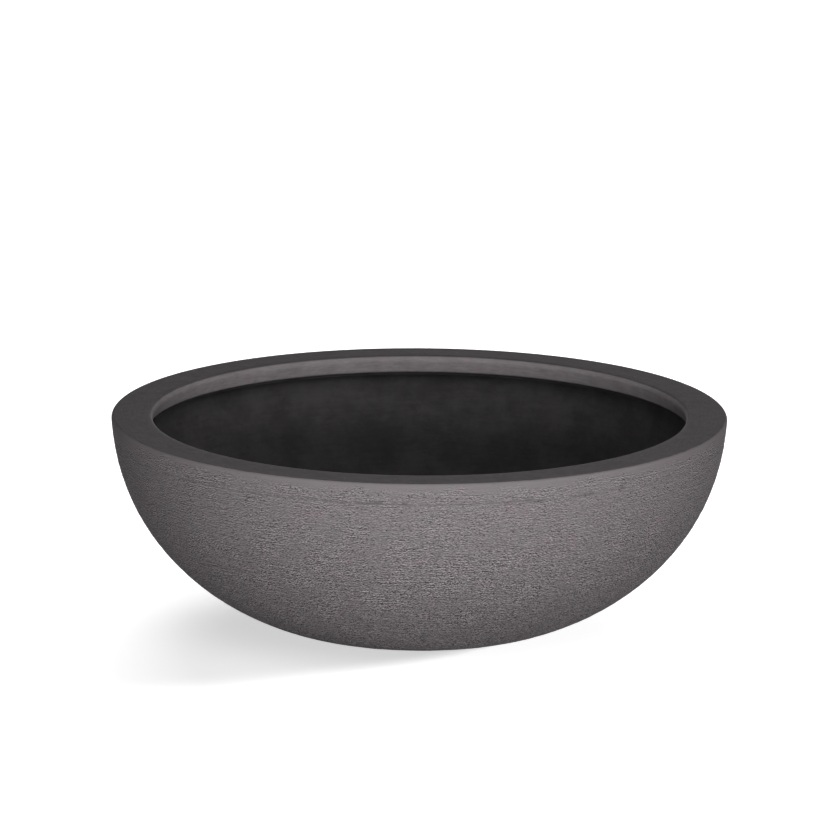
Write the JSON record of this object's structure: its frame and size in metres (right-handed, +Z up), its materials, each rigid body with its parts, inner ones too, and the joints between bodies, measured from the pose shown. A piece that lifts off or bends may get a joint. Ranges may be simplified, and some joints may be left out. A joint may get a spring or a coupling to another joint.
{
  "type": "planter",
  "caption": "Low round concrete bowl planter with a broad flat returned rim, combed outside, black lined inside, plugged drain hole and rubber pads.",
  "frame": {"origin": "on the floor, at the centre of the bowl", "axes": "+Z up along the bowl's axis; +X and +Y each lie midway between two pads"},
  "size_m": [0.6, 0.6, 0.21],
  "materials": {
    "concrete": "matte",
    "lining": "matte",
    "sleeve_plastic": "satin",
    "bung_rubber": "matte",
    "pad_rubber": "matte"
  },
  "bodies": {
    "planter": {"concrete_shell": "concrete", "inner_lining": "lining", "drain_sleeve": "sleeve_plastic", "base_pad_1": "pad_rubber", "base_pad_2": "pad_rubber", "base_pad_3": "pad_rubber", "base_pad_4": "pad_rubber"},
    "bung": {"drain_bung": "bung_rubber"}
  },
  "joints": [
    {"name": "bung_lift", "type": "slide", "parent": "planter", "child": "bung", "axis": [0, 0, 1], "range_m": [0, 0.24]}
  ]
}
